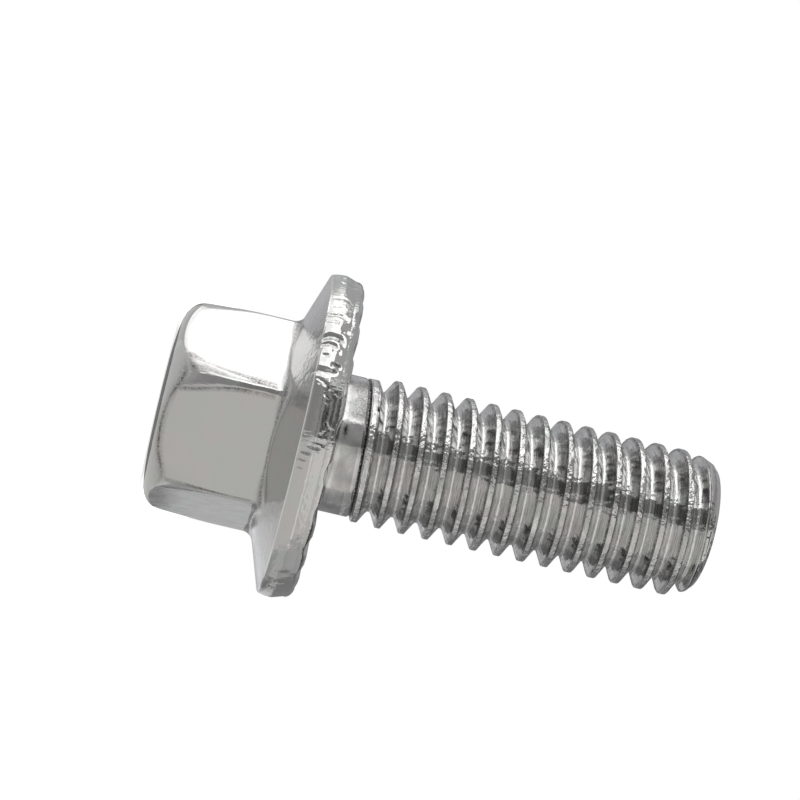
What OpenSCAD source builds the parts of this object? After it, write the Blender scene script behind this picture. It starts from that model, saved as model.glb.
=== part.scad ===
// Hexagon flange bolt with a serrated bearing face and a rolled metric thread.
// It stands on the flat end of its head: the origin is the middle of that face,
// and +Z runs along the axis to the tip of the thread.

/* [Thread] */
// Outer diameter of the thread
thread_d = 6; // [5.9:0.02:6.1]
// Distance from one crest to the next
pitch = 1; // [0.8:0.05:1.1]
// Width of the flat on each crest, as a share of the pitch
crest_share = 0.2; // [0.12:0.01:0.22]
// Turn of the thread about the axis, in degrees
thread_turn = 0; // [0:1:359]
// Length of the shank, from the bearing face to the tip
shank_l = 15.8; // [10:0.1:25]
// Diameter of the plain neck
neck_d = 5.66; // [5.5:0.02:5.7]
// Length of the plain neck, from the bearing face to where the first strand starts
neck_l = 1.1; // [0.6:0.1:2]
// Diameter of the flat at the tip
tip_flat_d = 4.9; // [4.4:0.1:5]
// Length over which the crests taper at the tip
tip_taper_l = 0.95; // [0.7:0.05:1.2]

/* [Head] */
// Height of the head, from its flat end to the bearing face
head_h = 6.9; // [6.5:0.1:8]
// Distance across the flats of the hexagon
across_flats = 7.8; // [7.6:0.05:8]
// Rounding of the upright edges of the hexagon
corner_r = 0.6; // [0.4:0.1:0.9]
// Diameter of the flat on the end of the head
end_flat_d = 3.6; // [3:0.1:5]
// Radius of the gentle dome round that flat
dome_r = 10; // [8:1:16]
// Diameter at which the dome turns into the crown
crown_start_d = 6.8; // [6.6:0.1:7.2]
// Rounding of the crown, from the dome to the sides of the hexagon
crown_r = 1.15; // [1:0.05:1.2]

/* [Flange] */
// Outer diameter of the flange
flange_d = 13.3; // [13:0.1:14]
// Height of the rim of the flange
rim_h = 1.38; // [1.3:0.02:1.8]
// Slope of the cone between the hexagon and the rim, in degrees
cone_angle = 19; // [17:1:24]
// Radius of the barrel form of the rim
rim_bulge_r = 1.8; // [1.6:0.1:3]
// Rounding of the edge between the rim and the bearing face
bearing_edge_r = 0.4; // [0.2:0.05:0.5]
// Rounding where the neck meets the bearing face
underhead_r = 0.3; // [0.2:0.05:0.4]
// Rounding where the sides of the hexagon meet the cone
foot_r = 0.4; // [0.3:0.1:1.2]

/* [Serrations] */
// Number of radial teeth on the bearing face
tooth_count = 24; // [12:1:30]
// Depth of the grooves between the teeth, at the rim
tooth_depth = 0.2; // [0.1:0.02:0.3]
// Diameter at which the grooves start
tooth_start_d = 8.6; // [8:0.1:9.5]
// Radius of the round section of each groove
groove_r = 0.9; // [0.7:0.1:1.1]

/* [Hidden] */
$fn = 96;
arc_steps = 6;
// Where two bodies meet without an edge, one is sunk this far into the other
sink = 0.02;

flat_dist = across_flats / 2;
neck_r = neck_d / 2;
crest_r = thread_d / 2;
flange_r = flange_d / 2;
tip_z = head_h + shank_l;
front_z = head_h - rim_h;

// Both flanks lean 30 degrees from square to the axis, so a strand gets wider by
// spread for each step down. sharp_h is the height of the sharp thread triangle
sharp_h = pitch * sqrt(3) / 2;
spread = tan(30);
crest_half = crest_share * pitch / 2;
flank_depth = 0.54 * sharp_h;
root_depth = 0.68 * sharp_h;
// The root's rounding starts this far past the end of a flank's line
flank_gap = 0.04 * pitch;
// Rows of points along one pitch: both edges of the crest, the end of one flank,
// the middle of the rounded root, and the end of the flank across the groove
profile_r = [
    crest_r, crest_r,
    crest_r - flank_depth, crest_r - root_depth, crest_r - flank_depth
];
profile_n = len(profile_r);

// The threaded body starts inside the head, and runs past the tip to be cut there
columns = 48;
hidden_l = 0.2;
blank_r = neck_r - sink;
neck_end_z = head_h + neck_l;
thread_z0 = head_h - hidden_l;
thread_z1 = tip_z + hidden_l;
first_crest_z = thread_z0 - pitch * (1 + thread_turn / 360);
rows = profile_n * ceil((thread_z1 - first_crest_z) / pitch + 2);
// Stretches over which each strand rises past the neck and fades at the tip
run_in = [neck_end_z, neck_end_z + pitch / 2];
run_out = [tip_z - 0.8 * pitch, tip_z - 0.2 * pitch];

// Points of an arc about [cx, cy], from angle a0 to angle a1
function arc(cx, cy, r, a0, a1) =
    [for (i = [0:arc_steps])
        let (a = a0 + (a1 - a0) * i / arc_steps)
        [cx + r * cos(a), cy + r * sin(a)]];

// 0 before the stretch, 1 after it, and a smooth rise between
function rise(x, stretch) =
    let (t = min(1, max(0, (x - stretch[0]) / (stretch[1] - stretch[0]))))
    t * t * (3 - 2 * t);

// Height of the crest that row m belongs to, in column i
function crest_z(m, i) = first_crest_z + pitch * (floor(m / profile_n) + i / columns);

// Radius of row m in column i. A strand and the groove past it grow together
function row_r(m, i) =
    let (z = crest_z(m, i), grown = rise(z, run_in) * (1 - rise(z, run_out)))
    blank_r + (profile_r[m % profile_n] - blank_r) * grown;

// Height of row m in column i, kept between the two ends. A row lies on its
// flank's line, so a strand that is still low has a wider crest
function row_z(m, i) =
    let (
        k = m % profile_n,
        half = crest_half + (crest_r - row_r(m, i)) * spread,
        from_crest = [-half, half, half + flank_gap, pitch / 2, pitch - half - flank_gap]
    )
    min(thread_z1, max(thread_z0, crest_z(m, i) + from_crest[k]));

// The number of a grid point. A row held at an end shares that end's ring, and
// the last column joins the first one a turn higher
function place(m, i) =
    i == columns ? place(m + profile_n, 0)
    : m >= rows || row_z(m, i) >= thread_z1 ? columns + i
    : row_z(m, i) <= thread_z0 ? i
    : (m + 2) * columns + i;

// A point at radius r and height z in column i
function around(r, z, i) =
    [r * cos(360 * i / columns), r * sin(360 * i / columns), z];

// Both halves of each quad, without those that have shrunk to a line
function halves(quads) =
    [for (q = quads) for (t = [[q[0], q[1], q[2]], [q[0], q[2], q[3]]])
        if (t[0] != t[1] && t[1] != t[2] && t[2] != t[0]) t];

// The right-hand helical thread, as one closed body
module thread_body() {
    ends = [for (z = [thread_z0, thread_z1]) for (i = [0:columns - 1]) around(blank_r, z, i)];
    grid = [for (m = [0:rows - 1]) for (i = [0:columns - 1])
        around(row_r(m, i), row_z(m, i), i)];
    quads = [for (m = [0:rows - 1]) for (i = [0:columns - 1])
        [place(m, i), place(m + 1, i), place(m + 1, i + 1), place(m, i + 1)]];
    lower_end = [for (i = [0:columns - 1]) i];
    upper_end = [for (i = [columns - 1:-1:0]) columns + i];
    polyhedron(
        points = concat(ends, grid),
        faces = concat([lower_end, upper_end], halves(quads))
    );
}

// Thread, cut to its tapered and rounded tip
module threaded_shank() {
    clear_r = crest_r + 0.5;
    start_z = thread_z0 - 1;
    edge_r = 0.15;
    edge_a = 10;
    taper_start_z = tip_z - tip_taper_l;
    // The taper gets steeper at its knee
    knee = [tip_flat_d / 2 + 0.28, tip_z - 0.25];
    intersection() {
        thread_body();
        rotate_extrude()
            polygon(concat(
                [[0, start_z], [clear_r, start_z], [clear_r, taper_start_z - clear_r + crest_r]],
                [[crest_r + sink, taper_start_z], knee],
                arc(tip_flat_d / 2, tip_z - edge_r, edge_r, edge_a, 90),
                [[0, tip_z]]
            ));
    }
}

// Plain neck under the bearing face, with its rounded foot. Its end dips into
// the threaded body
module neck() {
    root_z = head_h - 2 * hidden_l;
    foot_x = neck_r + underhead_r;
    rotate_extrude()
        polygon(concat(
            [[0, root_z], [foot_x, root_z]],
            arc(foot_x, head_h + underhead_r, underhead_r, 270, 180),
            [[neck_r, neck_end_z - sink], [neck_r - 2 * sink, neck_end_z + sink]],
            [[0, neck_end_z + sink]]
        ));
}

// Outline of the hexagon with a round at each corner, or of that outline grown
// outwards by d
function hexagon(d) =
    let (corner_dist = (flat_dist - corner_r) * 2 / sqrt(3))
    [for (a = [0:60:300]) each
        arc(corner_dist * cos(a), corner_dist * sin(a), corner_r + d, a - 30, a + 30)];

// Wrench head: a hexagonal prism, turned to a rounded crown at its end
module wrench_head() {
    dome_a = asin((crown_start_d - end_flat_d) / 2 / dome_r);
    dome = arc(end_flat_d / 2, dome_r, dome_r, -90, dome_a - 90);
    // The crown's arc stops short of upright, and goes on straight past the corners
    crown_end_a = -8;
    reach = 0.3;
    crown = arc(
        crown_start_d / 2 - crown_r * sin(dome_a),
        dome[arc_steps][1] + crown_r * cos(dome_a),
        crown_r, dome_a - 90, crown_end_a
    );
    crown_end = crown[arc_steps];
    intersection() {
        linear_extrude(front_z)
            polygon(hexagon(0));
        rotate_extrude()
            polygon(concat(
                [[0, 0]],
                dome,
                [for (i = [1:arc_steps]) crown[i]],
                [[crown_end[0] + reach, crown_end[1] + reach / tan(-crown_end_a)]],
                [[crown_end[0] + reach, head_h], [0, head_h]]
            ));
    }
}

// Barrel-shaped side of the rim, widest a little in front of its middle
bulge_z = head_h - 0.55 * rim_h;
bulge_start_a = asin((front_z - bulge_z) / rim_bulge_r);
bulge_end_a = asin((head_h - bearing_edge_r - bulge_z) / rim_bulge_r);
rim = arc(flange_r - rim_bulge_r, bulge_z, rim_bulge_r, bulge_start_a, bulge_end_a);

// Height of the cone at radius r
function cone_z(r) = front_z - (rim[0][0] - r) * tan(cone_angle);

// Conical flange with a barrel-shaped rim
module flange() {
    edge_x = rim[arc_steps][0] - bearing_edge_r;
    edge_start_a = 15;
    rotate_extrude()
        polygon(concat(
            [[0, cone_z(0)]],
            rim,
            arc(edge_x, head_h - bearing_edge_r, bearing_edge_r, edge_start_a, 90),
            [[0, head_h]]
        ));
}

// The same outline with points along its flats too
function split_flats(line) =
    [for (i = [0:len(line) - 1])
        let (
            start = line[i],
            edge = line[(i + 1) % len(line)] - start,
            parts = norm(edge) > flat_dist / 2 ? 4 : 1
        )
        for (k = [0:parts - 1]) start + edge * k / parts];

// Rounding between the hexagon and the cone, as one closed body: the outline of
// the hexagon grows along an arc, each point of it ends on the cone, and the
// last ring goes up inside the flange
module foot() {
    turn = 90 - cone_angle;
    steps = 5;
    lines = [for (k = [0:steps])
        split_flats(hexagon(foot_r * (1 - cos(turn * k / steps)) - sink))];
    rim_line = lines[steps];
    n = len(rim_line);
    rings = [for (k = [0:steps]) for (i = [0:n - 1])
        let (
            end_z = cone_z(norm(rim_line[i])) + sink,
            z = end_z - foot_r * (sin(turn) - sin(turn * k / steps))
        )
        [lines[k][i][0], lines[k][i][1], z]];
    hub_depth = 1;
    inner_ring = [for (p = rim_line) [p[0], p[1], front_z]];
    bottom_hub = (steps + 2) * n;
    top_hub = bottom_hub + 1;
    quads = [for (k = [0:steps]) for (i = [0:n - 1])
        let (j = (i + 1) % n)
        [k * n + i, (k + 1) * n + i, (k + 1) * n + j, k * n + j]];
    caps = [for (i = [0:n - 1])
        let (j = (i + 1) % n, top = (steps + 1) * n)
        each [[bottom_hub, i, j], [top_hub, top + j, top + i]]];
    polyhedron(
        points = concat(rings, inner_ring, [[0, 0, cone_z(0) - hub_depth], [0, 0, front_z]]),
        faces = concat(halves(quads), caps)
    );
}

// One groove between two teeth: a round cut that deepens towards the rim
module groove() {
    start_r = tooth_start_d / 2;
    run = flange_r - start_r;
    slope = atan(tooth_depth / run);
    translate([start_r, 0, head_h + groove_r])
        rotate([0, 90 + slope, 0])
            translate([0, 0, -run])
                cylinder(r = groove_r, h = 3 * run);
}

// Head and flange, with the teeth of the bearing face
module head() {
    difference() {
        union() {
            wrench_head();
            foot();
            flange();
        }
        for (k = [0:tooth_count - 1])
            rotate(360 * k / tooth_count)
                groove();
    }
}

module flange_bolt() {
    color("silver") {
        head();
        neck();
        threaded_shank();
    }
}

flange_bolt();
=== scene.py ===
"""Looks of a hexagon flange bolt that stands on the flat end of its head.

The bolt is one closed skin, laid ring by ring along the axis: the domed end, the crown, the flats,
the foot, the cone, the rim, the serrated bearing face, the neck, the thread and the tip. Lengths
are in millimetres until the skin is made into a mesh, and +Z is the bolt's axis.
"""
import math

import bpy
import numpy as np
from mathutils import Matrix, Vector


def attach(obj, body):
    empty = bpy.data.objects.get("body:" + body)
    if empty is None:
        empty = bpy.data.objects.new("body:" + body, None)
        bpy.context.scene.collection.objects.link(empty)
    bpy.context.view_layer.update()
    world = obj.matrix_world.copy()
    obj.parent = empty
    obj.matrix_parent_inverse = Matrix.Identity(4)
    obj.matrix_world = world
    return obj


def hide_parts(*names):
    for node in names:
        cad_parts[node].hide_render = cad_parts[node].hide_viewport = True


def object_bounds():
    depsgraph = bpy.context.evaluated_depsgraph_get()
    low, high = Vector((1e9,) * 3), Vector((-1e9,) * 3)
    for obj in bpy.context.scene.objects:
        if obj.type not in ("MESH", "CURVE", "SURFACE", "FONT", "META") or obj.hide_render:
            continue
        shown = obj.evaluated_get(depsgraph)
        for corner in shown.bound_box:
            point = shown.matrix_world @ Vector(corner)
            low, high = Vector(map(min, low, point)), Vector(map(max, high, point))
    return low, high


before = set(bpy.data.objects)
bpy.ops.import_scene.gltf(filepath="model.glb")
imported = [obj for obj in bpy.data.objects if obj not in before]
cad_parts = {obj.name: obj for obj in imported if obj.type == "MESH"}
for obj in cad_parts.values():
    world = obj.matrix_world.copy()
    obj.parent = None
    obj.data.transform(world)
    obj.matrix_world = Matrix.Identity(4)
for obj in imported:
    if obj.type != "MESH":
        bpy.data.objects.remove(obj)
cad_low, cad_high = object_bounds()

MM = 0.001
TIP_Z = cad_high.z / MM
FLANGE_R = min(cad_high.x, cad_high.y) / MM

# Less than any size here, and more than rounding errors
TINY = 1e-6

# Neck and thread: a metric profile, rounded at the crest's edges and in the root. FLANK_FALL is how
# much a flank falls for each step along the axis
THREAD_R = 3.0
PITCH = 1.0
SHARP_H = PITCH * math.sqrt(3) / 2
FLANK_FALL = math.sqrt(3)
CREST_HALF = 0.1
CREST_EDGE = 0.012
ROOT_DEPTH = 0.66 * SHARP_H
ROOT_SOFT = 0.07
NECK_R = 2.83
UNDERHEAD_R = 0.3
SHANK_L = 15.8
HEAD_H = TIP_Z - SHANK_L
NECK_END = HEAD_H + 1.1

# Heights between which a crest and a groove grow out of the neck and run out at the tip, and
# between which the fold of the first strand comes and goes
CREST_IN = (NECK_END, NECK_END + 0.9 * PITCH)
GROOVE_IN = (NECK_END - 0.25 * PITCH, NECK_END + 0.1 * PITCH)
RUN_OUT = (TIP_Z - 0.8 * PITCH, TIP_Z - 0.2 * PITCH)
FOLD_IN = (NECK_END - 0.15, NECK_END + 0.1)
FOLD_OUT = (NECK_END + 0.95, NECK_END + 1)

# The fold runs this far before the crest of the first strand, and its painted shade a little nearer
FOLD_DEPTH = 0.07
FOLD_OFF = 0.235
FOLD_HALF = 0.045
FOLD_SHADE_OFF = 0.215
FOLD_SHADE_HALF = 0.05

# A black nick in the neck: angle in degrees from the front, height, and half its size both ways
NICK_DEG = -8.5
NICK_Z = HEAD_H + 0.43
NICK_HALF_DEG = 5.5
NICK_HALF_Z = 0.07

# The thread's rows climb between two level rings. The lowest crest starts under the lower one
LOW_RING_Z = HEAD_H + 0.6
HIGH_RING_Z = TIP_Z - 0.2
LOWEST_CREST_Z = HEAD_H - 0.2 - PITCH

# Tip: radius of its flat end, radius of the edge round it and that edge's darker rows, and where the
# taper before it starts and ends below the end
TIP_FLAT_R = 2.45
TIP_EDGE_R = 0.13
TIP_EDGE_ROWS = (3, 4, 5)
TAPER_START = 0.95
TAPER_END = 0.25
TAPER_START_R = THREAD_R + 0.02
TAPER_END_R = TIP_FLAT_R + 0.28

# Head: half its width across the flats, the radius of its corners at the crown and at the foot, the
# flat, dome and crown of its end, and the radius of its foot
FLAT_DIST = 3.9
CORNER_R_END = 1.5
CORNER_R_FOOT = 0.45
CORNERS_SHARP_Z = 3.4
END_FLAT_R = 1.8
DOME_R = 10.0
CROWN_START_R = 3.4
CROWN_R = 1.15
CROWN_END_Z = 0.5
CROWN_LEAN = math.radians(8)
FOOT_R_CORNER = 0.5
FOOT_R_FLAT = 0.2
EDGE_SOFT = 0.07

# Flange: the cone, and the rim's side, whose lean in degrees changes at these shares of its height.
# The rows of the edge between them carry a painted highlight
CONE_ANGLE = math.radians(19)
CONE_START_R = 5.4
FOOT_TURN = math.pi / 2 - CONE_ANGLE
RIM_H = 1.38
RIM_ROWS = 24
RIM_SHARES = (0, 0.1, 0.3, 0.54, 0.59, 1)
RIM_LEANS = (-26, -15, -7, -3, 16, 19)
BEARING_EDGE_R = 0.36
FRONT_Z = HEAD_H - RIM_H
FRONT_EDGE_ROWS = (1, 2, 3)

# Teeth of the bearing face
TOOTH_COUNT = 24
TOOTH_DEPTH = 0.2
TOOTH_START_R = 4.3
TOOTH_BEND = 0.03
GROOVE_R = 0.9

# Columns of points round the hexagon and the thread, and round the rim
COLUMNS = 192
SIDE_COLUMNS = COLUMNS // 6
CORNER_COLUMNS = 12
RIM_COLUMNS = 456
EVEN_A = 2 * math.pi * np.arange(COLUMNS) / COLUMNS

# The side that the camera sees. Angles of marks and cards start here and grow towards the bottom of
# the picture
FRONT_A = math.radians(-104.5)

# Where marks lie, in degrees from the front: the angles between which they set in, and those between
# which they end. NECK_LAMPS and THREAD_LAMPS are where the neck and the thread mirror bright cards
# The crown's edge gets a line of painted shade between these angles
CROWN_SHADE_SIDE = ((-30, -10), (35, 60))
RIM_SIDE = ((-80, -66), (20, 34))
CREASE_SIDE = ((-17.5, -15.5), (1, 3.4))
NECK_LAMPS = ((-66, -58), (-23, -17))
THREAD_LAMPS = ((-64, -52), (-24, -18))

# Columns along which a thin dark line runs from the crown to the foot, and columns beside the first
# of them that are darker in patches
DARK_LINE_COLUMNS = (122, 134, 160, 161)
DARK_PATCH_COLUMNS = (121, 123, 124, 125, 126)

# How high dents and lines stand, in micrometres
CROWN_WEAR = {"dents": 4, "along": 2}
FLAT_DENTS = 1.2
FLAT_LINES = 1.2
CORNER_LINES = 9
FOOT_WEAR = {"dents": 5, "along": 4}
FOOT_END_WEAR = {"dents": 14, "along": 3}
CONE_DENTS = (24, 17)
CONE_LINES = 3
RIM_DENT_H = 12
RIM_LINES = 8
NECK_WEAR = {"dents": 5, "around": 5}
THREAD_START_DENTS = 6
FLANK_DENTS = 12
CREST_DENTS = 75
ROOT_DENTS = 34
THREAD_LINES = 5
RUN_OUT_DENTS = 20
TIP_DENTS = 70


class Skin:
    """A closed surface made of rings of points, each joined to the one before, and of climbing rows.

    Each point also holds how much dirt and painted shade darken it, how much painted highlight lightens
    it, and how high its dents and its lines stand, in micrometres: lines that run round the axis and
    lines that run along it."""

    WEAR = ("dirt", "bright", "dents", "around", "along")

    def __init__(self):
        self.points = []
        self.wear = []
        self.faces = []
        self.count = 0

    def add(self, points, **wear):
        """Takes points, with one value of each wear or one for each point. Gives their numbers."""
        first = self.count
        n = len(points)
        values = [np.broadcast_to(wear.get(name, 0), n) for name in self.WEAR]
        self.points.append(np.asarray(points, float))
        self.wear.append(np.stack(values, 1))
        self.count += n
        return np.arange(first, self.count)

    def lay(self, last, points, **wear):
        """A ring that goes on from the last one, if there is one."""
        ring = self.add(points, **wear)
        if last is not None:
            self.join(last, ring)
        return ring

    def angles(self, ring):
        points = np.concatenate(self.points)[ring]
        return (np.arctan2(points[:, 1], points[:, 0]) + TINY) % (2 * math.pi)

    def join(self, low, high):
        """Faces between two rings, the second further along. They may have different counts."""
        if len(low) == len(high):
            low_next, high_next = np.roll(low, -1), np.roll(high, -1)
            self.faces += np.stack([low, low_next, high_next, high], 1).tolist()
            return
        low_a = [*self.angles(low), 2 * math.pi]
        high_a = [*self.angles(high), 2 * math.pi]
        n, m = len(low), len(high)
        i = j = 0
        while i < n or j < m:
            if j == m or (i < n and low_a[i + 1] <= high_a[j + 1]):
                self.faces.append([low[i], low[(i + 1) % n], high[j % m]])
                i += 1
            else:
                self.faces.append([low[i % n], high[(j + 1) % m], high[j]])
                j += 1

    def fan(self, ring, centre, closes):
        """A cap from a middle point out to the first ring, or from the last ring in to it."""
        hub = self.add([centre])[0]
        n = len(ring)
        for i in range(n):
            a, b = ring[i], ring[(i + 1) % n]
            self.faces.append([hub, a, b] if closes else [hub, b, a])

    def weave(self, number):
        """Faces of a grid of points, given by their numbers. Neighbours may be the same point."""
        quads = np.stack([number[:-1, :-1], number[:-1, 1:], number[1:, 1:], number[1:, :-1]], -1)
        for quad in quads.reshape(-1, 4).tolist():
            face = [p for i, p in enumerate(quad) if p != quad[i - 1]]
            if len(face) > 2:
                self.faces.append(face)


def smooth(x, start, end):
    """0 before start, 1 after end, and a smooth rise between."""
    t = np.clip((x - start) / (end - start), 0, 1)
    return t * t * (3 - 2 * t)


def between(x, rise, fall):
    """1 along a stretch and 0 outside it, with a smooth rise and fall, each from start to end."""
    return smooth(x, *rise) * (1 - smooth(x, *fall))


def bell(x, width, power=2):
    """1 in the middle, at 0, and less on both sides. A higher power makes the middle flatter."""
    return np.exp(-((x / width) ** power))


def soft_min(a, b, width):
    """The smaller of two values, rounded over where they cross."""
    h = np.clip(0.5 + 0.5 * (b - a) / width, 0, 1)
    return b + (a - b) * h - width * h * (1 - h)


def soft_max(a, b, width):
    """The larger of two values, rounded over in the same way."""
    return -soft_min(-a, -b, width)


def arc(cx, cy, r, start, end, steps):
    """Points of an arc about (cx, cy), with the angles in degrees."""
    a = np.radians(np.linspace(start, end, steps + 1))
    return np.stack([cx + r * np.cos(a), cy + r * np.sin(a)], 1)


def bend(before, corner, after, steps):
    """A rounded corner: a curve from one point to another, drawn towards the corner."""
    t = np.linspace(0, 1, steps + 1).reshape(-1, *[1] * np.ndim(corner))
    return (1 - t) ** 2 * before + 2 * t * (1 - t) * corner + t**2 * after


def wrapped(a):
    """The same angle, from minus half a turn to half a turn."""
    return (a + math.pi) % (2 * math.pi) - math.pi


def from_front_deg(a):
    """An angle round the axis, as degrees from the front."""
    return np.degrees(wrapped(a - FRONT_A))


def points_at(r, z, a=EVEN_A):
    """Points at a radius, a height and an angle round the axis."""
    return np.stack([r * np.cos(a), r * np.sin(a), z + 0 * a], 1)


def grain(a, h, cells, step, seed):
    """Smooth random values from -1 to 1, with so many cells round the axis and one each step of h."""
    rows = 64
    table = np.random.default_rng(seed).uniform(-1, 1, (cells, rows))
    u, v = a / (2 * math.pi) * cells, h / step
    i, j = np.floor(u).astype(int), np.floor(v).astype(int)
    su, sv = smooth(u - i, 0, 1), smooth(v - j, 0, 1)
    left, right, low, high = i % cells, (i + 1) % cells, j % rows, (j + 1) % rows
    near = table[left, low] * (1 - su) + table[right, low] * su
    far = table[left, high] * (1 - su) + table[right, high] * su
    return near * (1 - sv) + far * sv


def hexagon(corner_r):
    """Outline of the hexagon and its outward normals, corners on the X axis."""
    flat_columns = SIDE_COLUMNS - CORNER_COLUMNS
    corner_dist = (FLAT_DIST - corner_r) * 2 / math.sqrt(3)
    points, normals = [], []
    for k in range(6):
        a = np.radians(60 * k + np.linspace(-30, 30, CORNER_COLUMNS + 1))
        out = np.stack([np.cos(a), np.sin(a)], 1)
        middle = corner_dist * out[CORNER_COLUMNS // 2]
        next_a = math.radians(60 * k + 60)
        next_start = corner_dist * np.array([math.cos(next_a), math.sin(next_a)]) + corner_r * out[-1]
        corner = middle + corner_r * out
        share = (np.arange(1, flat_columns) / flat_columns)[:, None]
        points += [corner, corner[-1] + (next_start - corner[-1]) * share]
        normals += [out, np.repeat(out[-1:], flat_columns - 1, 0)]
    shift = -(CORNER_COLUMNS // 2)
    return np.roll(np.concatenate(points), shift, 0), np.roll(np.concatenate(normals), shift, 0)


SHARP_HEXAGON, HEX_NORMALS = hexagon(0)
HEX_ROUNDING = hexagon(1)[0] - SHARP_HEXAGON


def hexagon_at(z):
    """Outline at height z, one value for each column: its corners get sharper towards the foot."""
    corner_r = CORNER_R_END + (CORNER_R_FOOT - CORNER_R_END) * smooth(z, 0, CORNERS_SHARP_Z)
    return SHARP_HEXAGON + HEX_ROUNDING * np.reshape(corner_r, (-1, 1))


def crown_z(r):
    """Height of the domed and crowned end at radius r."""
    slope = math.asin((CROWN_START_R - END_FLAT_R) / DOME_R)
    start_z = DOME_R * (1 - math.cos(slope))
    mid_r = CROWN_START_R - CROWN_R * math.sin(slope)
    mid_z = start_z + CROWN_R * math.cos(slope)
    dome = DOME_R - np.sqrt(DOME_R**2 - np.clip(r - END_FLAT_R, 0, None) ** 2)
    steep_r = mid_r + CROWN_R * math.cos(CROWN_LEAN)
    inside = np.clip(r - mid_r, 0, steep_r - mid_r)
    crown = mid_z - np.sqrt(CROWN_R**2 - inside**2)
    crown = crown + np.clip(r - steep_r, 0, None) / math.tan(CROWN_LEAN)
    return np.where(r < CROWN_START_R, dome, crown)


def rim_profile():
    """Side of the rim from the cone to the bearing edge, as (radius, height). It leans towards the
    head in front, and away from it behind."""
    share = np.linspace(0, 1, RIM_ROWS)
    lean = np.radians(np.interp(share, RIM_SHARES, RIM_LEANS))
    length = RIM_H - BEARING_EDGE_R
    slope = -np.tan((lean[1:] + lean[:-1]) / 2)
    rise = np.concatenate([[0], np.cumsum(slope) * length / (RIM_ROWS - 1)])
    return np.stack([FLANGE_R - rise.max() + rise, FRONT_Z + share * length], 1)


RIM = rim_profile()


def cone_z(r):
    """Height of the cone at radius r. It ends where the rim's side starts."""
    return FRONT_Z - (RIM[0, 0] - r) * math.tan(CONE_ANGLE)


def rim_angles():
    """Angles of the rim's columns, which stand three times as close together on its marked side."""
    a = np.linspace(0, 2 * math.pi, 3601)
    density = 1 + 2 * between(from_front_deg(a), *RIM_SIDE)
    share = np.concatenate([[0], np.cumsum((density[1:] + density[:-1]) / 2)])
    return np.interp(np.arange(RIM_COLUMNS) / RIM_COLUMNS, share / share[-1], a)


RIM_A = rim_angles()


def lay_crown(skin):
    """Domed end and crown, out along each column to the flats. Gives the last ring and its heights."""
    outline = hexagon_at(CROWN_END_Z)
    reach = np.linalg.norm(outline, axis=1)
    out = outline / reach[:, None]
    inner = reach - EDGE_SOFT
    shares = (0.12, 0.3, 0.45, 0.6, 0.72, 0.82, 0.9, 0.96, 0.985)
    rows = [(inner * share, crown_z(inner * share)) for share in shares]
    before = np.stack([inner, crown_z(inner)])
    corner = np.stack([reach, crown_z(reach)])
    after = np.stack([reach, crown_z(reach) + EDGE_SOFT])
    rows += list(bend(before, corner, after, 6))

    # A dark line of painted shade along the edge, on the side that the camera sees
    line = between(from_front_deg(EVEN_A), *CROWN_SHADE_SIDE)
    line = line * (0.8 + 0.25 * grain(EVEN_A, 0 * EVEN_A, 40, 1, 21))
    edge_row, fade_rows = len(shares) + 2.5, 5
    last = None
    for k, (r, z) in enumerate(rows):
        at_edge = 0.85 * max(0, 1 - abs(k - edge_row) / fade_rows)
        points = np.column_stack([out * r[:, None], z])
        last = skin.lay(last, points, dirt=line * at_edge, **CROWN_WEAR)
        if k == 0:
            skin.fan(last, (0, 0, 0), closes=False)
    return last, after[1]


def at_corner():
    """1 in the columns at a corner of the hexagon, and 0 along its flats."""
    column = np.arange(COLUMNS)
    from_corner = np.minimum(column % SIDE_COLUMNS, -column % SIDE_COLUMNS)
    return 1 - smooth(from_corner, 6, 13)


AT_CORNER = at_corner()
FOOT_R = FOOT_R_FLAT + (FOOT_R_CORNER - FOOT_R_FLAT) * AT_CORNER


def foot_outline(turn):
    """Outline where the foot has turned by an angle from the flats outwards."""
    return hexagon_at(CORNERS_SHARP_Z) + HEX_NORMALS * (FOOT_R * (1 - math.cos(turn)))[:, None]


def lay_flats(skin, last, start_z, end_z):
    """Flats and corners of the hexagon, with darker lines along a few columns."""
    line = np.isin(np.arange(COLUMNS), DARK_LINE_COLUMNS)
    patched = np.isin(np.arange(COLUMNS), DARK_PATCH_COLUMNS)
    for share in (0.04, 0.12, 0.22, 0.34, 0.48, 0.62, 0.76, 0.88, 0.96):
        z = start_z + (end_z - start_z) * share
        toned = line * (0.4 + 0.5 * grain(EVEN_A, z, 60, 0.7, 23))
        toned = toned + patched * (0.34 + 0.66 * grain(EVEN_A, z + 4 * EVEN_A, 96, 0.6, 24))
        last = skin.lay(
            last, np.column_stack([hexagon_at(z), z]),
            dirt=np.clip(toned, 0, 1), dents=FLAT_DENTS, along=FLAT_LINES + CORNER_LINES * AT_CORNER,
        )
    return last


def lay_foot(skin, last, start_z):
    """Foot of the hexagon, which is wider at the corners than along the flats, with painted shade in its
    fold.
    """
    for turn in np.linspace(0, FOOT_TURN, 12):
        points = foot_outline(turn)
        # Painted shade in the fold, darkest partway round the foot
        fold_shade = 0.6 * bell(turn / FOOT_TURN - 0.45, 0.2)
        z = start_z + FOOT_R * math.sin(turn)
        last = skin.lay(last, np.column_stack([points, z]), dirt=fold_shade, **FOOT_WEAR)

    # Over to the even columns of the cone, halfway in one step
    r = (np.hypot(*points.T) + CONE_START_R) / 2
    a = EVEN_A + 0.5 * wrapped(np.arctan2(points[:, 1], points[:, 0]) - EVEN_A)
    return skin.lay(last, points_at(r, cone_z(r), a), **FOOT_END_WEAR)


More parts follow.
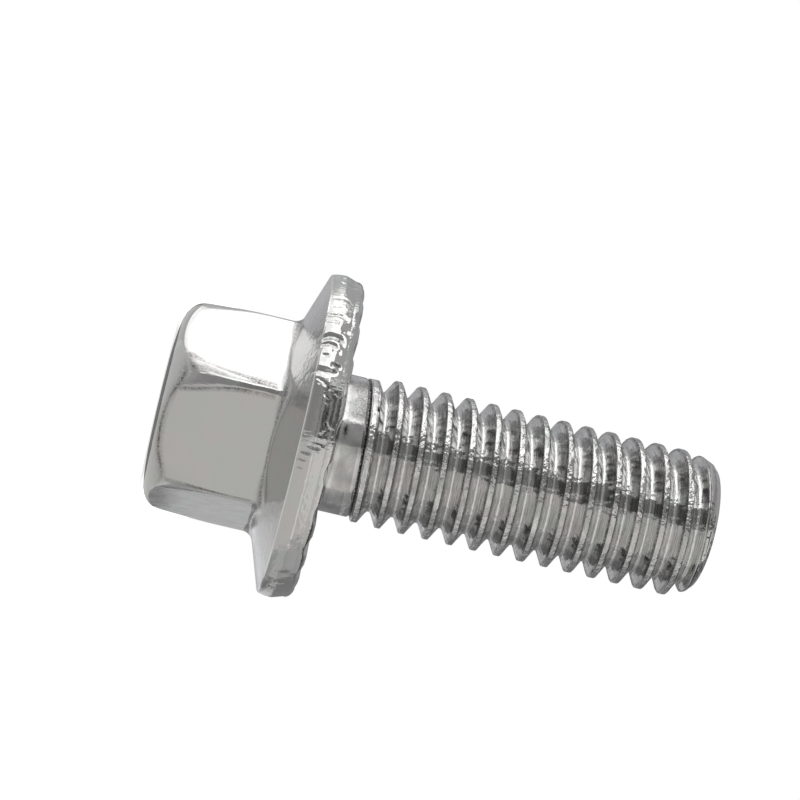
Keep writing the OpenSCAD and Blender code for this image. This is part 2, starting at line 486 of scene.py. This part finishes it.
def lay_head(skin):
    """Domed end, crown, flats and foot, column by column round the hexagon."""
    last, flats_z = lay_crown(skin)
    foot_reach = np.linalg.norm(foot_outline(FOOT_TURN), axis=1)
    foot_z = cone_z(foot_reach) - FOOT_R * math.sin(FOOT_TURN)
    last = lay_flats(skin, last, flats_z, foot_z)
    return lay_foot(skin, last, foot_z)


def tooth_groove_z(x, y):
    """Height of the bearing face's grooves above a place, or far above it between them."""
    r = np.hypot(x, y)
    step = 2 * math.pi / TOOTH_COUNT
    off = (np.arctan2(y, x) + step / 2) % step - step / 2
    across = r * np.sin(off)
    depth = (r * np.cos(off) - TOOTH_START_R) * TOOTH_DEPTH / (FLANGE_R - TOOTH_START_R)
    inside = np.clip(GROOVE_R**2 - across**2, 0, None)
    return HEAD_H + GROOVE_R - depth - np.sqrt(inside)


# Curved dents that forging left on the rim: angle, height above the rim's front edge, bend, half
# width round the rim, half length along the axis, and depth
RIM_DENTS = (
    (-52.0, 0.40, 0.3, 0.07, 0.32, 0.02),
    (-47.0, 0.30, 0.3, 0.07, 0.22, 0.025),
    (-42.5, 0.38, 0.5, 0.10, 0.52, 0.09),
    (-39.3, 0.26, 0.9, 0.08, 0.34, 0.06),
    (-36.2, 0.72, 0.2, 0.08, 0.28, 0.035),
    (-32.6, 0.38, 0.8, 0.17, 0.55, 0.12),
    (-29.4, 0.30, 1.1, 0.13, 0.40, 0.10),
    (-27.0, 0.62, 0.4, 0.09, 0.20, 0.05),
    (-24.8, 0.24, 0.8, 0.07, 0.16, 0.05),
    (-21.5, 0.70, 0.0, 0.09, 0.24, 0.05),
    (-18.8, 0.32, -0.2, 0.11, 0.55, 0.08),
    (4.7, 0.68, 0.0, 0.07, 0.30, 0.03),
    (6.2, 0.57, 0.1, 0.07, 0.26, 0.045),
    (8.2, 0.32, 0.2, 0.07, 0.22, 0.03),
    (10.8, 0.20, 0.9, 0.07, 0.26, 0.03),
    (13.6, 0.24, 0.6, 0.07, 0.15, 0.025),
    (33.0, 0.60, 0.3, 0.05, 0.16, 0.012),
    (37.5, 0.30, 0.2, 0.05, 0.20, 0.012),
    (42.0, 0.70, -0.2, 0.05, 0.22, 0.02),
    (45.0, 0.40, 0.3, 0.06, 0.24, 0.02),
    (48.5, 0.62, 0.2, 0.06, 0.26, 0.025),
    (52.0, 0.34, -0.2, 0.06, 0.22, 0.02),
    (56.5, 0.58, 0.3, 0.07, 0.30, 0.03),
)
# Similar dents from the bottom of the rim round its far side
SPREAD = np.random.default_rng(41).uniform(0, 1, (26, 5))
RIM_DENTS += tuple(
    (40 + 260 * u, 0.1 + 0.7 * v, 1.2 * w - 0.3, 0.08 + 0.06 * x, 0.12 + 0.3 * x, 0.02 + 0.06 * y)
    for u, v, w, x, y in SPREAD
)
# The jagged crease among them: angles, and heights above the rim's front edge
CREASE_A = (-16.2, -14.8, -11.7, -7.8, -2.9, -0.6, 2.4)
CREASE_H = (0.20, 0.44, 0.62, 0.76, 0.83, 0.91, 0.80)
CREASE_WIDTH = 0.08
CREASE_DEPTH = 0.04


def rim_marks(a, z):
    """How deep the rim is marked at angle a and height z, and how much painted shade darkens its dents
    and crease.
    """
    face = wrapped(a - FRONT_A)
    up = z - FRONT_Z
    wobble = 0.025 * grain(a, z, 500, 0.12, 3)
    depth = 0 * a
    for angle, height, curve, width, length, deep in RIM_DENTS:
        y = up - height
        x = FLANGE_R * wrapped(face - math.radians(angle)) - curve * y**2 + wobble
        ends = 1 - smooth(np.abs(y), 0.6 * length, length)
        depth = np.maximum(depth, deep * bell(x, width) * ends)
    face = np.degrees(face)
    crease_h = np.interp(face, CREASE_A, CREASE_H) + 0.1 * grain(a, 0 * a, 290, 1, 5)
    crease = between(face, *CREASE_SIDE) * bell(up - crease_h, CREASE_WIDTH)
    crease = crease * (0.75 + 0.4 * grain(a, z, 420, 0.1, 6))
    pits = np.clip(grain(a, z, 260, 0.16, 7) - 0.45, 0, None) * 0.02
    # Painted shade, darker in deeper dents and along the crease
    dirt = np.clip(1.1 * crease + 2.6 * depth, 0, 1)
    return depth + CREASE_DEPTH * crease + pits, dirt


def lay_flange(skin, last):
    """Cone, rim, rounded bearing edge and toothed bearing face."""
    front_r = RIM[0, 0]
    cone_end = np.array([front_r - EDGE_SOFT, cone_z(front_r - EDGE_SOFT)])
    for share, dents in zip((0, 0.5), CONE_DENTS):
        r = CONE_START_R + (cone_end[0] - CONE_START_R) * share
        last = skin.lay(last, points_at(r, cone_z(r)), dents=dents, along=CONE_LINES)

    edge_r = RIM[-1, 0] - BEARING_EDGE_R * math.cos(math.radians(RIM_LEANS[-1]))
    rows = list(bend(cone_end, RIM[0], RIM[1], 4)) + list(RIM[2:])
    rows += list(arc(edge_r, HEAD_H - BEARING_EDGE_R, BEARING_EDGE_R, 25, 90, 7))
    rows += [(r, HEAD_H) for r in np.linspace(edge_r, TOOTH_START_R - 0.15, 10)[1:]]
    for k, (r, z) in enumerate(rows):
        on_rim = smooth(r, FLANGE_R - 0.4, FLANGE_R - 0.25)
        # A painted highlight along the rim's front edge
        edge_highlight = 0.9 if k in FRONT_EDGE_ROWS else 0
        depth, dirt = rim_marks(RIM_A, z + 0 * RIM_A)
        points = points_at(r - depth * on_rim, z, RIM_A)
        if z > HEAD_H - 2 * TOOTH_DEPTH:
            grooves = tooth_groove_z(points[:, 0], points[:, 1])
            points[:, 2] = soft_min(points[:, 2], grooves, TOOTH_BEND)
        last = skin.lay(
            last, points, dirt=dirt * on_rim, bright=edge_highlight, dents=RIM_DENT_H, along=RIM_LINES * on_rim
        )
    return last


def groove_share(z, off):
    """How much of its depth the groove has at height z, off past the nearest crest."""
    crest_below = np.where(off < 0, z - off - PITCH, z - off)
    return between(crest_below, GROOVE_IN, RUN_OUT)


def first_strand(z, off):
    """1 along the first strand of the thread, beside the neck."""
    return between(z - off, FOLD_IN, FOLD_OUT)


def thread_radius(z, off, a):
    """Radius of the thread at height z, off past the nearest crest."""
    grown = between(z - off, CREST_IN, RUN_OUT)
    groove = groove_share(z, off)
    ragged = 0.010 * grain(a, z, 150, 0.5, 11) + 0.006 * grain(a, z, 90, 0.21, 12)
    side = np.abs(off) - CREST_HALF + ragged
    full = THREAD_R - FLANK_FALL * soft_max(side, 0, CREST_EDGE)
    top = NECK_R + (THREAD_R - NECK_R) * grown
    bottom = NECK_R + (THREAD_R - ROOT_DEPTH - NECK_R) * groove
    r = soft_min(full, top, CREST_EDGE * grown + TINY)
    r = soft_max(r, bottom, ROOT_SOFT * groove + TINY)

    # A narrow fold runs along the foot of the first strand, on its neck side
    r = r - FOLD_DEPTH * first_strand(z, off) * bell(off + FOLD_OFF, FOLD_HALF)
    taper_share = (z - TIP_Z + TAPER_START) / (TAPER_START - TAPER_END)
    taper = TAPER_START_R + (TAPER_END_R - TAPER_START_R) * taper_share
    return soft_min(r, taper, 0.03)


def thread_shade_and_highlights(z, off, a):
    """How much painted shade and painted highlight the thread has: painted shade in the first strand's
    fold and beside each crest, and painted highlights in each root and on the flank after each crest.
    Where it shows the lamps, the flank after a crest is speckled with painted glints and dark spots, and
    the one before it is dulled by painted shade."""
    lit = between(from_front_deg(a), *THREAD_LAMPS)
    groove = groove_share(z, off)
    # Painted speckle of glints and dark spots where the thread mirrors the lamps
    speckled = lit * smooth(off, 0.06, 0.1)
    speckle = np.clip(grain(a, z, 176, 0.11, 15) + 0.1, 0, 1)
    speckle = speckle + np.clip(grain(a, z, 90, 0.2, 16), 0, 1)

    # Painted shade: in the first strand's fold, beside each crest, dark speckle and a dull flank by the
    # lamps
    fold_shade = first_strand(z, off) * bell(off + FOLD_SHADE_OFF, FOLD_SHADE_HALF, 4)
    beside_crest = bell(np.abs(off) - CREST_HALF - 0.045, 0.03) * groove
    beside_crest = beside_crest * (0.75 + 0.35 * grain(a, z, 70, 0.5, 13)) * (1 - 0.95 * speckled)
    after_crest = 1.1 * speckled * speckle * (1 - smooth(off, 0.4, 0.45)) * groove
    before_crest = 0.42 * lit * groove * between(-off, (0.1, 0.14), (0.4, 0.48))
    dirt = np.max([np.clip(1.2 * fold_shade, 0, 1), beside_crest, after_crest, before_crest], axis=0)

    # Painted highlights: a bright line in each root and on the flank after each crest
    root_highlight = smooth(np.abs(off), 0.44, 0.49)
    flank_highlight = smooth(off, 0.11, 0.15) * (0.25 + lit * (0.75 - 0.7 * np.clip(speckle, 0, 1)))
    return dirt, groove * np.maximum(root_highlight, flank_highlight)


def neck_dirt_and_shade(a, z):
    """How dirty the neck is. Where it shows the lamps, painted shade spots it and dulls it towards the
    thread, and a black nick lies below them."""
    face = from_front_deg(a)
    lit = between(face, *NECK_LAMPS)
    dull = smooth(z + 0.1 * grain(a, 0 * z, 70, 1, 32), HEAD_H + 0.55, HEAD_H + 0.68)
    spots = np.clip(grain(a, z, 110, 0.22, 33) - 0.1, 0, 1)
    plain = 0.08 + 0.06 * grain(a, z, 40, 0.5, 31)
    nick = 1.3 * bell(face - NICK_DEG, NICK_HALF_DEG) * bell(z - NICK_Z, NICK_HALF_Z)
    # Painted shade tones down the lamps' reflection
    return plain + lit * (0.12 + 0.38 * dull + 0.8 * spots * (1 - dull)) + nick


def lay_neck(skin, last):
    """Inner bearing face, the fillet under the head and the neck, up to the thread's lower ring."""
    fillet = arc(NECK_R + UNDERHEAD_R, HEAD_H + UNDERHEAD_R, UNDERHEAD_R, 270, 180, 6)
    rows = [(3.8, HEAD_H), (3.4, HEAD_H), *fillet, (NECK_R, HEAD_H + 0.45), (NECK_R, LOW_RING_Z)]
    for r, z in rows:
        dirt = neck_dirt_and_shade(EVEN_A, z + 0 * EVEN_A)
        last = skin.lay(last, points_at(r, z), dirt=dirt, **NECK_WEAR)
    return last


def thread_rows():
    """Rows that climb with the helix: the height of each in every column, how far past its crest it
    lies, and how many rows one turn has. They are closest together at the crest's edges."""
    half = np.array([0.08, 0.1, 0.12, 0.145, 0.175, 0.21, 0.245, 0.31, 0.38, 0.45])
    places = PITCH * np.concatenate([-half[::-1], [0], half, [0.5]])
    turns = math.ceil((HIGH_RING_Z - LOW_RING_Z) / PITCH) + 3
    turn, place = np.divmod(np.arange(turns * len(places)), len(places))
    off = places[place][:, None]
    crest_z = LOWEST_CREST_Z + PITCH * (turn[:, None] + EVEN_A / (2 * math.pi))
    return crest_z + off, off, len(places)


def lay_thread(skin, low):
    """The thread, from the lower level ring to the higher one, which it gives."""
    high_r = float(thread_radius(HIGH_RING_Z, 0.0, 0.0))
    high = skin.add(points_at(high_r, HIGH_RING_Z), dents=RUN_OUT_DENTS)

    # What lies outside the two rings shrinks onto them
    z, off, per_turn = thread_rows()
    number = np.where(z >= HIGH_RING_Z - TINY, high, low)
    free = (z > LOW_RING_Z + TINY) & (z < HIGH_RING_Z - TINY)
    a, z, off = [np.broadcast_to(value, free.shape)[free] for value in (EVEN_A, z, off)]
    on_thread = smooth(z, NECK_END - 0.1, NECK_END + 0.3)
    dirt, bright = thread_shade_and_highlights(z, off, a)
    on_crest = np.abs(off) < 1.1 * CREST_HALF
    dents = FLANK_DENTS + CREST_DENTS * on_crest + ROOT_DENTS * smooth(np.abs(off), 0.38, 0.44)
    number[free] = skin.add(
        points_at(thread_radius(z, off, a), z, a),
        dirt=np.maximum(dirt, (1 - on_thread) * neck_dirt_and_shade(a, z)),
        bright=bright,
        dents=THREAD_START_DENTS + on_thread * (dents - THREAD_START_DENTS),
        around=THREAD_LINES,
    )

    # After one turn, each row goes on as the row one pitch higher
    higher = np.concatenate([number[per_turn:, :1], np.repeat(high[:1][None], per_turn, 0)])
    skin.weave(np.concatenate([number, higher], 1))
    return high


def lay_tip(skin, last):
    """Rounded edge of the tip, with darker rows along it, and the flat end."""
    edge = arc(TIP_FLAT_R, TIP_Z - TIP_EDGE_R, TIP_EDGE_R, 30, 90, 4)
    end = [(TIP_FLAT_R - 0.15, TIP_Z), (TIP_FLAT_R * 0.5, TIP_Z)]
    for k, (r, z) in enumerate([(TIP_FLAT_R + 0.18, TIP_Z - 0.14), *edge, *end]):
        dirt = 0.6 if k in TIP_EDGE_ROWS else 0
        last = skin.lay(last, points_at(r, z), dirt=dirt, dents=TIP_DENTS)
    skin.fan(last, (0, 0, TIP_Z), closes=True)


def put(name, data):
    """A new object of the scene, which holds a mesh or the camera."""
    obj = bpy.data.objects.new(name, data)
    bpy.context.scene.collection.objects.link(obj)
    return obj


def make_bolt():
    """The whole skin as one mesh in metres, with its wear, dirt, painted shade and painted highlights as
    values of its points.
    """
    skin = Skin()
    last = lay_head(skin)
    last = lay_flange(skin, last)
    last = lay_neck(skin, last)
    last = lay_thread(skin, last)
    lay_tip(skin, last)
    mesh = bpy.data.meshes.new("bolt_skin")
    points = np.concatenate(skin.points) * MM
    mesh.from_pydata(points.tolist(), [], skin.faces)
    wear = np.concatenate(skin.wear)
    for k, name in enumerate(Skin.WEAR):
        attribute = mesh.attributes.new(name, "FLOAT", "POINT")
        attribute.data.foreach_set("value", wear[:, k].astype(np.float32))
    mesh.shade_smooth()
    return put("bolt_skin", mesh)


class Graph:
    """Short ways to add nodes to a material."""

    def __init__(self, name):
        self.material = bpy.data.materials.new(name)
        self.material.use_nodes = True
        self.tree = self.material.node_tree
        self.nodes = self.tree.nodes

    def feed(self, socket, value):
        if isinstance(value, bpy.types.NodeSocket):
            self.tree.links.new(value, socket)
        else:
            socket.default_value = value

    def node(self, kind, inputs, output=0, **settings):
        """A node with its settings, and with its inputs by name or number. Gives one output."""
        node = self.nodes.new(kind)
        for name, value in settings.items():
            setattr(node, name, value)
        for name, value in inputs.items():
            self.feed(node.inputs[name], value)
        return node.outputs[output]

    def show(self, shader):
        """Shows a shader in place of the plain one that a new material has."""
        self.nodes.remove(self.nodes["Principled BSDF"])
        self.feed(self.nodes["Material Output"].inputs["Surface"], shader)

    def math(self, operation, *values):
        return self.node("ShaderNodeMath", dict(enumerate(values)), operation=operation)

    def wear(self, name):
        return self.node("ShaderNodeAttribute", {}, "Fac", attribute_name=name)

    def vector(self, x, y, z):
        return self.node("ShaderNodeCombineXYZ", {"X": x, "Y": y, "Z": z})

    def noise(self, vector, scale, detail):
        inputs = {"Vector": vector, "Scale": scale, "Detail": detail}
        return self.node("ShaderNodeTexNoise", inputs, "Fac")

    def mix(self, share, first, second):
        inputs = {"Factor": share, "A": first, "B": second}
        return self.node("ShaderNodeMix", inputs, "Result", data_type="RGBA")

    def scale(self, colour, factor):
        return self.node("ShaderNodeVectorMath", {0: colour, "Scale": factor}, operation="SCALE")

    def range(self, value, low, high, to_low, to_high):
        inputs = {"Value": value, "From Min": low, "From Max": high, "To Min": to_low, "To Max": to_high}
        return self.node("ShaderNodeMapRange", inputs, "Result")


COOL_PLATE = (0.60, 0.615, 0.60, 1)
# Colour of painted highlights, on the rim's front edge and in the thread
WARM_PLATE = (0.625, 0.605, 0.605, 1)
HIGHLIGHT_PLATE = (0.82, 0.82, 0.815, 1)
# Colour of dirt and of painted shade
DIRT_AND_SHADE_COLOUR = (0.03, 0.03, 0.03, 1)
PLATE_ROUGHNESS = (0.09, 0.17)
DIRT_AND_SHADE_ROUGHNESS = 0.3
MICROMETRE = 0.000001

# Shades of the streaks, which show where lines round the axis stand higher than this
STREAK_SHADES = (0.66, 1.14)
STREAKED_FROM = 3.0

# Most values of a noise lie between these
NOISE_RANGE = (0.35, 0.65)


def bolt_places(g):
    """Places on the bolt in millimetres: as they are, and stretched so that noise becomes lines round
    the axis, or lines along it."""
    split = g.nodes.new("ShaderNodeSeparateXYZ")
    g.feed(split.inputs[0], g.nodes.new("ShaderNodeTexCoord").outputs["Object"])
    x, y, z = [g.math("MULTIPLY", split.outputs[k], 1 / MM) for k in range(3)]
    r = g.math("SQRT", g.math("ADD", g.math("MULTIPLY", x, x), g.math("MULTIPLY", y, y)))
    level = g.math("MULTIPLY_ADD", r, 16.0, z)
    turned = g.vector(g.math("MULTIPLY", x, 0.8), g.math("MULTIPLY", y, 0.8), level)
    drawn = g.vector(g.math("MULTIPLY", x, 9.0), g.math("MULTIPLY", y, 9.0), g.math("MULTIPLY", z, 1.3))
    return g.vector(x, y, z), turned, drawn


def plating_height(g, even, turned, drawn):
    """Height of the dents and of both kinds of lines, in micrometres."""
    dents = g.math("MULTIPLY", g.wear("dents"), g.noise(even, 4.0, 2.5))
    around = g.math("MULTIPLY", g.wear("around"), g.noise(turned, 1.0, 1.0))
    along = g.math("MULTIPLY", g.wear("along"), g.noise(drawn, 1.0, 1.0))
    return g.math("ADD", dents, g.math("ADD", around, along))


def plating_colour(g, even, turned, dirt):
    """Cool and warm patches, streaks where lines run round the axis, painted highlights, and dirt and
    painted shade.
    """
    warmth = g.range(g.noise(even, 1.4, 1.0), *NOISE_RANGE, 0, 1)
    clean = g.mix(warmth, COOL_PLATE, WARM_PLATE)
    streak = g.range(g.noise(turned, 1.3, 1.0), 0.3, 0.7, *STREAK_SHADES)
    lined = g.math("LESS_THAN", STREAKED_FROM, g.wear("around"))
    streaked = g.scale(clean, g.math("MULTIPLY_ADD", lined, g.math("SUBTRACT", streak, 1.0), 1.0))
    # Painted highlights lighten the plating
    toned = g.mix(g.wear("bright"), streaked, HIGHLIGHT_PLATE)
    return g.mix(dirt, toned, DIRT_AND_SHADE_COLOUR)


def plated_steel():
    """Bright plating, dented and lined by forging and rolling, with dirt and painted shade in its folds
    and painted highlights on it.
    """
    g = Graph("plated_steel")
    shader = g.nodes["Principled BSDF"]
    shader.inputs["Metallic"].default_value = 1
    even, turned, drawn = bolt_places(g)
    height = plating_height(g, even, turned, drawn)
    bump = g.node("ShaderNodeBump", {"Distance": MICROMETRE, "Height": height}, "Normal")
    g.feed(shader.inputs["Normal"], bump)
    ragged = g.range(g.noise(even, 14.0, 2.0), 0.35, 0.6, 0.45, 1.1)
    dirt = g.math("MINIMUM", g.math("MULTIPLY", g.wear("dirt"), ragged), 1.0)
    g.feed(shader.inputs["Base Color"], plating_colour(g, even, turned, dirt))
    uneven = g.range(g.noise(even, 2.2, 3.0), *NOISE_RANGE, *PLATE_ROUGHNESS)
    g.feed(shader.inputs["Roughness"], g.math("MULTIPLY_ADD", dirt, DIRT_AND_SHADE_ROUGHNESS, uneven))
    return g.material


bolt = make_bolt()
bolt.data.materials.append(plated_steel())
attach(bolt, "root")
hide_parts("flange_bolt")

# Camera: a little above the floor, level with the head, and rolled so that the bolt lies. From the
# middle of the head's end, it stands this far towards the viewer, up the bolt's axis, and across it
# towards the bottom of the picture
CAM_DIST = 78.5
CAM_HEIGHT = 2.216
CAM_SIDE = 4.546
CAM_LIFT = math.radians(5.238)
CAM_PAN = math.radians(-4.952)
CAM_ROLL = math.radians(12.934)
CAM_LENS_PX = 1946.2
CAM_SENSOR = 36
IMAGE_PX = 800


def turned_pair(first, second, angle):
    """Two directions at right angles, the first turned towards the second and the second with it."""
    c, s = math.cos(angle), math.sin(angle)
    return first * c + second * s, second * c - first * s


def make_camera():
    """The camera, lifted, panned and rolled in turn from a level look at the bolt's axis."""
    toward = Vector((math.cos(FRONT_A), math.sin(FRONT_A), 0))
    up_axis = Vector((0, 0, 1))
    down = up_axis.cross(toward)
    along, back = turned_pair(up_axis, toward, CAM_LIFT)
    ahead, drop = turned_pair(-back, down, CAM_PAN)
    below, right = turned_pair(drop, along, CAM_ROLL)
    data = bpy.data.cameras.new("camera")
    data.sensor_width = CAM_SENSOR
    data.lens = CAM_SENSOR * CAM_LENS_PX / IMAGE_PX
    data.clip_start = 0.001
    data.clip_end = 10
    cam = put("camera", data)
    place = (toward * CAM_DIST + down * CAM_SIDE + up_axis * CAM_HEIGHT) * MM
    turn = Matrix((right, -below, -ahead)).transposed()
    cam.matrix_world = Matrix.Translation(place) @ turn.to_4x4()
    bpy.context.scene.camera = cam


make_camera()

# Cards: their colours, the degrees that one face of a card spans, the edges of the floor's rings, and
# the heights at which the wall changes
PLAIN = (1, 1, 1)
WARM = (1.01, 1.0, 0.965)
COOL = (0.985, 0.985, 1.015)
CARD_STEP = 4
FLOOR_R = (0, 3.3, 7.5, 14, 40, 78, 120)
WALL_Z = (0, 10, 14, 18.5, 52, 77, 120)
WALL_R = FLOOR_R[-1]
CEILING_Z = WALL_Z[-1]


def glow(name, strength, colour):
    """A material that only shines."""
    g = Graph(name)
    g.show(g.node("ShaderNodeEmission", {"Color": (*colour, 1), "Strength": strength}))
    return g.material


def card(name, start, end, near, far, strength, colour):
    """A lit card that only the metal mirrors. It spans two angles round the bolt, in degrees from
    the front, and runs from one (radius, height) to another."""
    steps = max(2, int((end - start) / CARD_STEP))
    a = FRONT_A + np.radians(np.linspace(start, end, steps + 1))
    points = [(r * math.cos(x) * MM, r * math.sin(x) * MM, z * MM) for r, z in (near, far) for x in a]
    n = len(a)
    mesh = bpy.data.meshes.new(name)
    mesh.from_pydata(points, [], [(i, i + 1, n + i + 1, n + i) for i in range(n - 1)])
    mesh.materials.append(glow(name, strength, colour))
    obj = put(name, mesh)
    obj.visible_camera = False
    obj.visible_diffuse = False
    obj.visible_shadow = False


# Angles round the bolt, colour, strengths of the floor's rings outwards, of the wall upwards, and of
# the ceiling. The head's flats show the lowest wall, the neck the third, the thread's crests the
# fourth, the rim's back the fifth, and the flank before each crest the highest and the ceiling. The
# crown shows the floor's second ring, the cone the second and third, and the rim's front and the
# flank after each crest the fourth
SECTORS = (
    ("back", -180, -155, COOL,
     (0.2, 0.2, 0.45, 0.5, 0.5, 0.5), (0.5, 0.4, 0.25, 0.25, 0.4, 0.4), 0.45),
    ("back_top", -155, -124, COOL,
     (0.2, 0.2, 0.5, 0.56, 0.55, 0.6), (0.6, 0.6, 0.66, 0.5, 0.5, 0.5), 0.45),
    ("hatch", -124, -112, PLAIN,
     (0.2, 0.25, 0.55, 0.65, 0.7, 0.9), (1.2, 0.7, 0.66, 0.5, 0.4, 0.45), 0.45),
    ("start", -112, -107, PLAIN,
     (0.2, 0.4, 0.6, 0.65, 0.8, 1.2), (2.1, 0.8, 0.5, 1.2, 0.4, 0.45), 0.45),
    ("neck_start", -107, -98, PLAIN,
     (0.2, 0.6, 1.2, 1.2, 1.8, 2.1), (2.1, 1.2, 0.3, 1.9, 0.4, 0.45), 0.45),
    ("light_top", -98, -73, PLAIN,
     (0.2, 0.6, 1.6, 1.4, 2.1, 2.1), (2.1, 1.9, 0.3, 1.9, 0.45, 0.48), 0.45),
    ("light_side", -73, -42, PLAIN,
     (0.2, 0.6, 0.55, 1.4, 2.1, 2.1), (2.1, 1.9, 0.3, 1.9, 0.48, 0.48), 0.45),
    ("light_end", -42, -36, PLAIN,
     (0.2, 0.7, 0.6, 2.0, 2.2, 2.1), (2.1, 2.1, 1.6, 2.4, 0.9, 1.0), 0.9),
    ("dark_front", -36, 4, PLAIN,
     (0.2, 0.65, 0.42, 0.31, 0.38, 0.25), (0.2, 0.38, 0.34, 0.33, 0.3, 0.1), 0.1),
    ("grey_front", 4, 84, WARM,
     (0.2, 0.62, 0.62, 0.64, 0.65, 0.65), (0.65, 0.65, 0.62, 0.9, 0.62, 0.8), 0.9),
    ("low_edge", 84, 120, PLAIN,
     (0.2, 0.6, 0.7, 0.42, 0.56, 0.56), (0.52, 0.74, 0.34, 0.45, 0.5, 0.07), 0.07),
    ("low_turn", 120, 146, PLAIN,
     (0.2, 0.6, 0.7, 0.27, 0.22, 0.25), (0.5, 0.28, 0.25, 0.25, 0.22, 0.15), 0.15),
    ("low_back", 146, 180, COOL,
     (0.2, 0.4, 0.65, 0.8, 0.5, 0.5), (0.66, 0.4, 0.25, 0.25, 0.3, 0.3), 0.3),
)


def make_cards():
    """The cards of all sectors, on the floor, up the wall and over the bolt."""
    for name, start, end, colour, rings, walls, ceiling in SECTORS:
        for k, strength in enumerate(rings):
            near, far = (FLOOR_R[k], 0), (FLOOR_R[k + 1], 0)
            card(f"{name}_floor_{k}", start, end, near, far, strength, colour)
        for k, strength in enumerate(walls):
            low, high = (WALL_R, WALL_Z[k]), (WALL_R, WALL_Z[k + 1])
            card(f"{name}_wall_{k}", start, end, low, high, strength, colour)
        card(f"{name}_ceiling", start, end, (0, CEILING_Z), (WALL_R, CEILING_Z), ceiling, colour)


make_cards()

FLOOR_HALF = 3.0
FLOOR_COLOUR = (0.85, 0.85, 0.85, 1)
FLOOR_GLOW = 0.7


def floor_material():
    """Matt white that keeps the bolt's shadow, with a glow of its own for what looks at it."""
    g = Graph("floor")
    path = g.nodes.new("ShaderNodeLightPath").outputs
    mirrored = g.math("ADD", path["Is Glossy Ray"], path["Is Transmission Ray"])
    shown = g.math("ADD", path["Is Camera Ray"], mirrored)
    matt = g.node("ShaderNodeBsdfDiffuse", {"Color": FLOOR_COLOUR})
    shine = g.node("ShaderNodeEmission", {"Strength": g.math("MULTIPLY", shown, FLOOR_GLOW)})
    g.show(g.node("ShaderNodeAddShader", {0: matt, 1: shine}))
    return g.material


def make_floor():
    """White floor. The metal mirrors the cards in its place."""
    corners = [(x * FLOOR_HALF, y * FLOOR_HALF, 0) for x, y in ((-1, -1), (1, -1), (1, 1), (-1, 1))]
    mesh = bpy.data.meshes.new("floor")
    mesh.from_pydata(corners, [], [(0, 1, 2, 3)])
    mesh.materials.append(floor_material())
    floor = put("floor", mesh)
    floor.visible_glossy = False


make_floor()


def make_world():
    """A plain white world."""
    world = bpy.data.worlds.new("studio")
    bpy.context.scene.world = world
    world.use_nodes = True
    nodes, links = world.node_tree.nodes, world.node_tree.links
    nodes.clear()
    out = nodes.new("ShaderNodeOutputWorld")
    back = nodes.new("ShaderNodeBackground")
    back.inputs["Color"].default_value = (1, 1, 1, 1)
    back.inputs["Strength"].default_value = 1
    links.new(back.outputs[0], out.inputs["Surface"])


make_world()
bpy.context.scene.view_settings.view_transform = "Standard"
